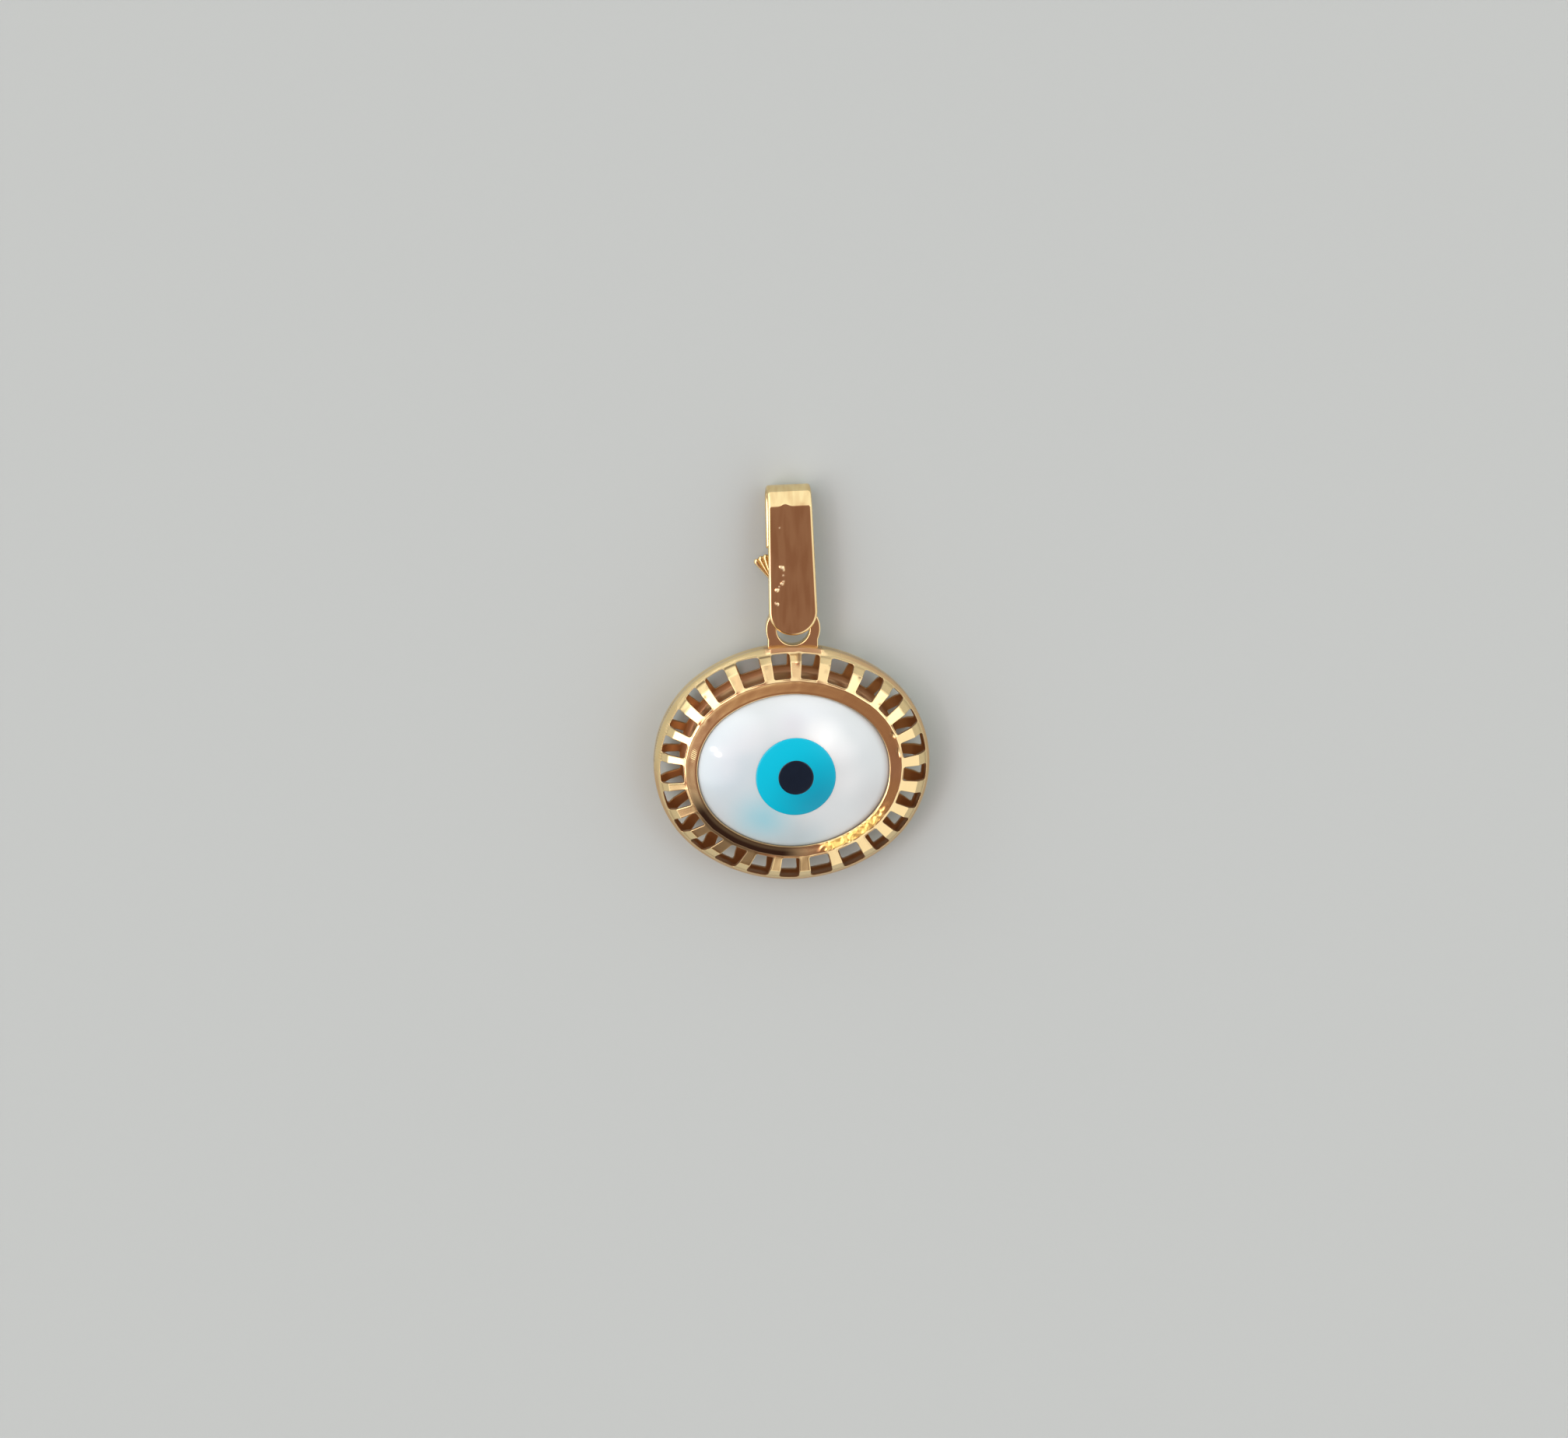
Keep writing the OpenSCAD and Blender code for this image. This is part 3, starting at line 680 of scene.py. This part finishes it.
def stone_body():
    """Points and faces of the stone: dome, edge, back, pocket floor and pocket wall.

    Also how shaded each point is, near the edge of the dome.
    """
    around, fit, under_gap = 256, 0.004, 0.03
    turn = np.linspace(0, 2 * math.pi, around, endpoint=False)
    circle = iris_middle + (iris_radius + fit) * np.stack([np.cos(turn), np.sin(turn)], -1)
    stretch = np.stack([half_length * np.cos(turn), half_width * np.sin(turn)], -1)
    shape = onto_oval(stretch, np.zeros(around)) - [0, stone_low]

    # Share of the way from the pocket to the edge, depth under the dome, and height where the ring is flat
    dome = [(0, 0.012, None), (0.004, 0.003, None), (0.01, 0.0, None)]
    dome += [(share, 0.0, None) for share in np.linspace(0.03, 0.985, 34)]
    dome += [(0.99, 0.01, None), (0.996, 0.03, None), (1.0, 0.08, None)]
    dome += [(1.0, 0.0, 0.6), (1.0, 0.0, stone_back + 0.05)]
    under_side = [(share, 0.0, stone_back) for share in (0.985, 0.7, 0.35)]
    rings = [dome_ring((1 - share) * circle + share * shape, sink, flat) for share, sink, flat in dome + under_side]
    points = [tuple(p) for ring in rings for p in ring]
    faces = joined(len(rings), around, closed=False)
    last = (len(rings) - 1) * around
    points.append((0, -stone_low, stone_back))
    faces += [(last + a, last + (a + 1) % around, last + around) for a in range(around)]
    floor = dome_top - inlay_depth - under_gap
    under = len(points)
    points += [(x, y, floor) for x, y in circle] + [(*iris_middle, floor)]
    for a in range(around):
        b = (a + 1) % around
        faces += [(a, b, under + b, under + a), (under + a, under + b, len(points) - 1)]
    right = smooth(0.3, 0.9, np.cos(turn))
    shade = [value for share, _, _ in dome for value in 0.65 * smooth(0.93 - 0.1 * right, 1.0, share)]
    return points, faces, shade + [0.0] * (len(points) - len(shade))


stone_points, stone_faces, stone_shade = stone_body()
stone = mesh_piece("stone_body", stone_points, stone_faces, oval_middle, edge=stone_shade)
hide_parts("stone")
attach(stone, "root")

pearl, shell = material("mother_of_pearl", stone)


def patch(wire, x, y, size):
    """A soft round patch on the dome, 1 at a point in millimetres from the oval's middle."""
    place = wire.node("ShaderNodeTexCoord", output="Object")
    centre = Vector((oval_middle[0] + x, oval_middle[1] + y, oval_middle[2] + float(dome_height(x, y)))) * MM
    gap = wire.node("ShaderNodeVectorMath", {"operation": "DISTANCE"}, {0: place, 1: centre}, "Value")
    limits = {"Value": gap, "From Min": size * MM, "From Max": 0}
    return wire.node("ShaderNodeMapRange", {"interpolation_type": "SMOOTHSTEP"}, limits)


# Patches over the shell: across and up from the oval's middle, size, how strong, and colour. The pale ones at 1.7,
# 2.0, at 3.0, 1.2 and at 3.4, -0.6 are a painted highlight, the grey one at 5.2, -2.0 painted shade and the cyan one
# at
# -2.0, -3.1 a painted reflection of the iris; the one at 0.4, -4.9 darkens the dome's foot, and the rest tint the
# shell
shell_tints_and_light = [
    (-4.6, 0.2, 5.5, 1, (0.49, 0.635, 0.70)),
    (0.8, 3.6, 3.4, 1, (0.72, 0.80, 0.83)),
    (1.7, 2.0, 2.0, 1, (0.93, 1.0, 1.0)),
    (3.0, 1.2, 1.5, 0.7, (0.80, 0.86, 0.87)),
    (3.4, -0.6, 1.8, 0.6, (0.74, 0.80, 0.81)),
    (5.2, -2.0, 2.4, 0.6, (0.52, 0.56, 0.57)),
    (0.4, -4.9, 3.0, 1, (0.40, 0.54, 0.58)),
    (-2.0, -3.1, 2.8, 1, (0.28, 0.62, 0.72)),
    (-0.2, 3.0, 1.4, 0.7, (0.64, 0.68, 0.73)),
]
white = (0.61, 0.69, 0.705, 1)
for x, y, size, strength, colour in shell_tints_and_light:
    patch_weight = patch(shell, x, y, size)
    white = (patch_weight if strength == 1 else strength * patch_weight).mix(white, (*colour, 1))
white = (0.35 * spots(shell, 2.2, 3)).mix(white, (0.66, 0.74, 0.76, 1))
# Towards its edge the dome is browned by the edge mark: painted shade
mark_of(shell, "edge").mix(white, (0.30, 0.25, 0.21, 1)).into(pearl, "Base Color")
(0.30 + 0.10 * spots(shell, 1.6)).into(pearl, "Roughness")
pearl.inputs["Coat Weight"].default_value = 1.0
pearl.inputs["Coat Roughness"].default_value = 0.05
pearl.inputs["Subsurface Weight"].default_value = 0.25
pearl.inputs["Subsurface Radius"].default_value = (1.0, 1.0, 1.1)
pearl.inputs["Subsurface Scale"].default_value = 0.0006


# Iris: a ring of turquoise-blue inlay, turned to size, glued into the stone's pocket and then ground and polished
# flush with its dome.

pupil_fit = 0.004


def inlay(inner, outer, rings_total):
    """Points and faces of an inlay ground flush with the dome: a disc, or a ring where inner is above 0."""
    around, edge, sink, first_radius = 160, 0.01, 0.008, 0.1
    turn = np.linspace(0, 2 * math.pi, around, endpoint=False)
    circle = np.stack([np.cos(turn), np.sin(turn)], -1)
    floor = dome_top - inlay_depth
    start = inner + edge if inner else first_radius
    rows = [(inner, sink, None)] if inner else []
    rows += [(radius, 0.0, None) for radius in np.linspace(start, outer - edge, rings_total)]
    rows += [(outer, sink, None), (outer, 0.0, floor), (inner or start, 0.0, floor)]
    rings = [dome_ring(iris_middle + radius * circle, sink, flat) for radius, sink, flat in rows]
    points, faces = [tuple(p) for ring in rings for p in ring], joined(len(rings), around, closed=bool(inner))
    if not inner:
        last = len(points) - around
        points += [(*iris_middle, float(dome_height(*iris_middle))), (*iris_middle, floor)]
        for a in range(around):
            b = (a + 1) % around
            faces += [(b, a, len(points) - 2), (last + a, last + b, len(points) - 1)]
    return points, faces


iris = mesh_piece("iris_ring", *inlay(pupil_radius + pupil_fit, iris_radius, 16), oval_middle)
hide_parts("iris")
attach(iris, "root")

turquoise, blue = material("turquoise", iris)
# The iris is painted darker towards its lower right, away from the window at the upper left: painted shade
shaded_turquoise = patch(blue, 1.6, -1.9, 4.2).mix((0.0, 0.50, 0.69, 1), (0.0, 0.31, 0.46, 1))
shaded_turquoise.into(turquoise, "Base Color")
turquoise.inputs["Specular IOR Level"].default_value = 0.3
(0.16 + 0.05 * spots(blue, 0.5)).into(turquoise, "Roughness")


# Pupil: a plug of near-black inlay, glued into the middle of the iris and ground and polished flush with it and
# the dome.

pupil = mesh_piece("pupil_plug", *inlay(0, pupil_radius, 14), oval_middle)
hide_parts("pupil")
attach(pupil, "root")

navy, dark = material("black_inlay", pupil)
(0.5 * spots(dark, 0.5)).mix((0.002, 0.009, 0.020, 1), (0.006, 0.018, 0.036, 1)).into(navy, "Base Color")
navy.inputs["Roughness"].default_value = 0.12
navy.inputs["Specular IOR Level"].default_value = 0.4


# Bail: one band of gold folded over the ear: front leaf with a round end, creased top bend, back leaf cut across,
# and a narrow neck that passes through the ear to the flap with its fluted thumb tab.

# Radii of the fold in the ear and of the top bend, the distance between them, and the band's thickness and edge
fold_r, top_r, reach, band, band_edge = 0.75, 1.2, 7.5, 0.3, 0.2
widening = math.asin((top_r - fold_r) / reach)

# Radius of the leaf's round end and how fast its half width draws in, the cut's height and width, and the widths of
# the neck and the flap
leaf_r, draw_in = 1.52, 0.0189
cut_reach, cut_width = 4.5, 0.12
neck_width, flap_width = 1.3, 2.3

# How the bail lies: its lean and tilt in degrees, and the way from the oval's middle to its fold
lean, tilt, middle_to_fold = 2.2, -5.355, 9.0
bail_turn = Matrix.Rotation(math.radians(lean), 3, "Z") @ Matrix.Rotation(math.radians(tilt), 3, "X")
fold_middle = oval_middle + [0, middle_to_fold, 0]
leaf_end = leaf_r - fold_r
top_crease = reach - (top_r - band / 2) * math.sin(widening)

# Rough grains on the leaf's face, and waves of the face: across, up the bail, radius and height
grains = [(-0.62, 3.60, 0.10, 0.065), (-0.66, 2.60, 0.09, 0.05), (-1.0, 2.20, 0.09, 0.065), (-1.02, 1.32, 0.08, 0.05)]
grains += [(-0.56, 3.12, 0.07, 0.02), (-0.84, 2.42, 0.06, 0.02), (-0.70, 6.15, 0.06, 0.02)]
grains += [(-0.74, 3.68, 0.06, 0.045), (-0.54, 3.46, 0.055, 0.045), (-0.56, 2.74, 0.06, 0.035)]
grains += [(-1.12, 1.40, 0.05, 0.03), (-0.94, 1.27, 0.055, 0.03), (-0.90, 2.24, 0.05, 0.03)]
waves = [(0.15, 3.2, 0.5, -0.012), (-0.2, 5.3, 0.6, 0.010), (-0.4, 1.0, 0.6, 0.012), (0.8, 7.7, 0.22, 0.012)]


def leaf_half(y):
    """Half the band's width at a height up the bail, with its round end."""
    if y < leaf_end:
        return math.sqrt(max(0, leaf_r**2 - (leaf_end - y) ** 2))
    return leaf_r - draw_in * (y - leaf_end)


def flap_half(y):
    """Half the width of the neck and the flap at a height up the bail."""
    return np.interp(y, [fold_r, fold_r + flap_width - neck_width], [neck_width / 2, flap_width / 2])


def leaf_relief(x, y):
    """Height of the leaf's uneven face over its plane: faint hammering, grains and waves."""
    height = 0.006 * noise.noise(Vector((x * 0.9, y * 0.45, 4)))
    for bump_x, bump_y, radius, peak in grains + waves:
        gap = ((x - bump_x) ** 2 + (y - bump_y) ** 2) / radius**2
        if gap < 6:
            height += peak * math.exp(-gap)
    return height


def strip(path, half, lanes, leaf):
    """Points and faces of a closed pillow along a side-view path of (y, z).

    Each row spans the width in lanes and is round at its edges. The leaf has a round end, an uneven face and a
    crease that wanders.
    """
    path = np.array(path)
    along = np.gradient(path, axis=0)
    along /= np.linalg.norm(along, axis=1)[:, None]
    points = []
    for (y, z), t in zip(path, along):
        wide = half(y)
        for side, order in ((1, lanes), (-1, lanes[::-1])):
            for f in order:
                x = f * wide
                inside = wide - abs(x)
                if leaf and y < leaf_end:
                    inside = leaf_r - math.hypot(x, leaf_end - y)
                depth = 1 - min(1, max(0, inside / band_edge))
                rise = side * band / 2 * math.sqrt(max(0, 1 - depth**2))
                if leaf and side > 0 and z > 0:
                    rise += (1 - depth) * leaf_relief(x, y)
                slip = 0.24 * near(x, -0.3, 0.36) * near(y, top_crease, 0.26) if leaf and z > 0 else 0
                points.append((x, y - t[1] * rise + slip, z + t[0] * rise + slip * t[1]))
    size = 2 * len(lanes)
    faces = joined(len(path), size, closed=False)
    for r in (0, len(path) - 1):
        for k in range(len(lanes) - 1):
            faces.append([r * size + k, r * size + k + 1, r * size + size - 2 - k, r * size + size - 1 - k])
    return points, faces


def band_path():
    """Side view of the band's middle line, from the tip of the leaf over the creased top to the cut."""
    small, large, slope = fold_r - band / 2, top_r - band / 2, math.tan(widening)

    def face(y):
        return small / math.cos(widening) + y * slope

    def arc(turn):
        return reach + large * math.cos(math.radians(turn)), large * math.sin(math.radians(turn))

    crease = top_crease
    places = [leaf_end - leaf_r * math.sin(math.radians(a)) for a in range(90, 0, -3)]
    places += [*np.linspace(leaf_end, crease - 0.1, 110), crease - 0.05, crease - 0.02]
    path = [(y, face(y)) for y in places]
    start, end = (crease + 0.01, face(crease)), arc(50)
    for t in (0, 0.03, 0.08, 0.16, 0.3, 0.45, 0.6, 0.75, 0.9):
        path.append((start[0] + (end[0] - start[0]) * t, start[1] + (end[1] - start[1]) * t))
    path += [arc(turn) for turn in range(50, -94, -5)]
    return path + [(y, -face(y)) for y in np.linspace(crease, cut_reach + cut_width, 16)]


def flap_path():
    """Side view of the neck and the flap, from inside the leaf round the fold to the cut."""
    middle, slope = fold_r - band / 2, math.tan(widening)
    path = [(y, middle / math.cos(widening) + y * slope - 0.02) for y in (0.5, 0.3, 0.1)]
    path += [(middle * math.cos(math.radians(a)), middle * math.sin(math.radians(a))) for a in range(94, 270, 6)]
    return path + [(y, -(middle / math.cos(widening) + y * slope)) for y in np.linspace(0.1, cut_reach, 20)]


# Flutes of the thumb tab, which fan out: their length, number, and the first one's turn and the step in degrees
flute_length, flute_count, first_flute, flute_step = 1.5, 6, 36, 12


def flute(turn, foot):
    """One flute of the thumb tab: a tapered bar with a round end."""
    radius, foot_radius, thick, size = 0.2, 0.07, 0.3, 14
    taper = [(flute_length * t, foot_radius + (radius - foot_radius) * t) for t in np.linspace(0, 1, 10)]
    end = [(flute_length + radius * math.sin(a), radius * math.cos(a)) for a in np.linspace(0.2, 1.45, 7)]
    rows = [(0.0, 0.007)] + taper + end
    points = []
    spin = Matrix.Rotation(-widening, 3, "X") @ Matrix.Rotation(math.radians(turn), 3, "Z")
    for y, r in rows:
        for a in np.linspace(0, 2 * math.pi, size, endpoint=False):
            p = Vector((r * math.cos(a), y, thick / 2 * (r / radius) ** 0.5 * math.sin(a)))
            points.append(tuple(spin @ p + foot))
    ends = [list(range(size)), [(len(rows) - 1) * size + k for k in range(size)]]
    return points, joined(len(rows), size, closed=False) + ends


# Lanes across the band, as shares of its half width: close together at the round edges
edge_lanes = [1 - d for d in (0, 0.004, 0.015, 0.035, 0.06, 0.09, 0.12, 0.15, 0.18)]
leaf_lanes = np.array([-v for v in edge_lanes] + list(np.linspace(-0.78, 0.78, 39)) + edge_lanes[::-1])
neck_lanes = np.array([-v for v in edge_lanes] + list(np.linspace(-0.7, 0.7, 9)) + edge_lanes[::-1])
tab_below_cut = 0.45
tab_y = cut_reach - tab_below_cut - flute_length
tab_foot = Vector((-flap_width / 2, tab_y, -(fold_r + tab_y * math.sin(widening)) / math.cos(widening)))
parts = [strip(band_path(), leaf_half, leaf_lanes, True), strip(flap_path(), flap_half, neck_lanes, False)]
parts += [flute(first_flute - flute_step * k, tab_foot) for k in range(flute_count)]
bail_points, bail_faces = [], []
for part_points, part_faces in parts:
    bail_faces += [[i + len(bail_points) for i in f] for f in part_faces]
    bail_points += [tuple(bail_turn @ Vector(p)) for p in part_points]


def roughness_at(p):
    """How coarse the leaf's face is at a point, in the bail's own frame: 1 on a grain, which is also painted paler as
    a painted glint.
    """
    back_of_leaf = 0.6
    if p.z <= back_of_leaf:
        return 0.0
    return max(math.exp(-((((p.x - x) ** 2 + (p.y - y) ** 2) / radius**2) ** 2)) for x, y, radius, _ in grains)


rough = [roughness_at(bail_turn.inverted() @ Vector(p)) for p in bail_points]
bail = mesh_piece("bail_band", bail_points, bail_faces, fold_middle, rough=rough)
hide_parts("bail")
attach(bail, "root")

bail_gold, strap = material("gold_bail", bail)
glint_and_rough = mark_of(strap, "rough")
strap_place = strap.node("ShaderNodeTexCoord", output="Object")
drawn_out = strap.node("ShaderNodeVectorMath", {"operation": "MULTIPLY"}, {0: strap_place, 1: (1.0, 0.16, 0.3)})
streak_width = 0.4 * MM
smear = strap.node("ShaderNodeTexNoise", {}, {"Vector": drawn_out, "Scale": 1 / streak_width, "Detail": 1.0})
streak = strap.node("ShaderNodeMapRange", {}, {"Value": smear, "From Min": 0.38, "From Max": 0.62})
bail_colour = streak.mix((0.945, 0.75, 0.39, 1), (0.825, 0.605, 0.3, 1))
# The grains are painted pale yellow-white as well as made rougher: a painted glint
glint_and_rough.mix(bail_colour, (1.0, 0.90, 0.62, 1)).into(bail_gold, "Base Color")
(0.10 + 0.06 * spots(strap, 0.8) + 0.35 * glint_and_rough).into(bail_gold, "Roughness")
bail_gold.inputs["Metallic"].default_value = 1


# Floor: plain pale ground, matt and much larger than the pendant, which lies on it face up on the crest of its
# back shell.

floor_mesh = bpy.data.meshes.new("floor")
half_side = 0.8
corners = [(x * half_side, y * half_side, 0) for x, y in ((-1, -1), (1, -1), (1, 1), (-1, 1))]
floor_mesh.from_pydata(corners, [], [(0, 1, 2, 3)])
floor = bpy.data.objects.new("floor", floor_mesh)
bpy.context.scene.collection.objects.link(floor)
ground, _ = material("ground", floor)
ground.inputs["Base Color"].default_value = (0.485, 0.545, 0.54, 1)
ground.inputs["Roughness"].default_value = 0.9


# Light: a soft room round the pendant, pale all round and dim overhead, with a bright window at the upper left
# and a softer one at the upper right.

room = bpy.data.worlds.new("room")
room.use_nodes = True
bpy.context.scene.world = room
sky = Wire(room.node_tree)
direction = sky.node("ShaderNodeTexCoord", output="Generated")


def glow(way, inner, outer):
    """Soft spot round a direction: full within the inner angle, nothing beyond the outer one."""
    aimed = {0: direction, 1: Vector(way).normalized()}
    cosine = sky.node("ShaderNodeVectorMath", {"operation": "DOT_PRODUCT"}, aimed, "Value")
    limits = {"Value": cosine, "From Min": math.cos(math.radians(outer)), "From Max": math.cos(math.radians(inner))}
    return sky.node("ShaderNodeMapRange", {"interpolation_type": "SMOOTHSTEP"}, limits)


# Where the room is dim: overhead, and low over the pendant's foot
overhead = glow((-0.05, -0.15, 0.99), 14, 44)
foot_side = glow((-0.25, -0.80, 0.55), 14, 30)

# The bright window at the upper left: two panes, two small sparks in them and a low glow beyond, as strengths over
# the room's own brightness
pane, spark, low_glow = 2.4, 16, 0.8
window = pane * glow((-0.63, -0.17, 0.76), 9, 19) + pane * glow((-0.46, 0.27, 0.84), 9, 22)
window = window + spark * glow((-0.612, 0.04, 0.79), 0.8, 2.3) + spark * glow((-0.575, -0.02, 0.818), 0.8, 2.3)
window = window + low_glow * glow((-0.72, 0.68, 0.14), 10, 34)

# The softer window at the upper right, then the whole room's brightness and its tint, warmer where it is dim
lamp = glow((0.50, 0.19, 0.85), 5, 18)
brightness = 1.08 - 0.80 * overhead - 0.95 * foot_side * (1 - overhead) + window + 0.9 * lamp
side_tint = foot_side.mix((1.0, 1.0, 1.0, 1), (1.0, 0.62, 0.45, 1))
tint = (overhead * (1 - lamp)).mix(side_tint, (1.0, 0.555, 0.49, 1))
tint.into(room.node_tree.nodes["Background"], "Color")
brightness.into(room.node_tree.nodes["Background"], "Strength")
bpy.context.scene.view_settings.view_transform = "Standard"


# Camera: nearly overhead, leaning a little towards the head of the pendant, as in the photograph. A long lens
# keeps the near and the far parts in one scale.

sight = Vector((-0.08, 0.256, 0.963)).normalized()
level_right = Vector((sight.z, 0, -sight.x)).normalized()
level_up = sight.cross(level_right)
roll = 0.010
right = (level_right + roll * level_up).normalized()
up = sight.cross(right).normalized()
aim_left, aim_up = 0.463, 2.649
aim = Vector(oval_middle) - aim_left * right + aim_up * up
distance, frame_width, sensor_width = 600, 98.3, 36
camera_data = bpy.data.cameras.new("camera")
camera_data.sensor_width = sensor_width
camera_data.lens = sensor_width * distance / frame_width
camera_data.clip_start, camera_data.clip_end = 0.01, 10
camera = bpy.data.objects.new("camera", camera_data)
camera.matrix_world = Matrix((right, up, sight)).transposed().to_4x4()
camera.location = (aim + distance * sight) * MM
bpy.context.scene.collection.objects.link(camera)
bpy.context.scene.camera = camera
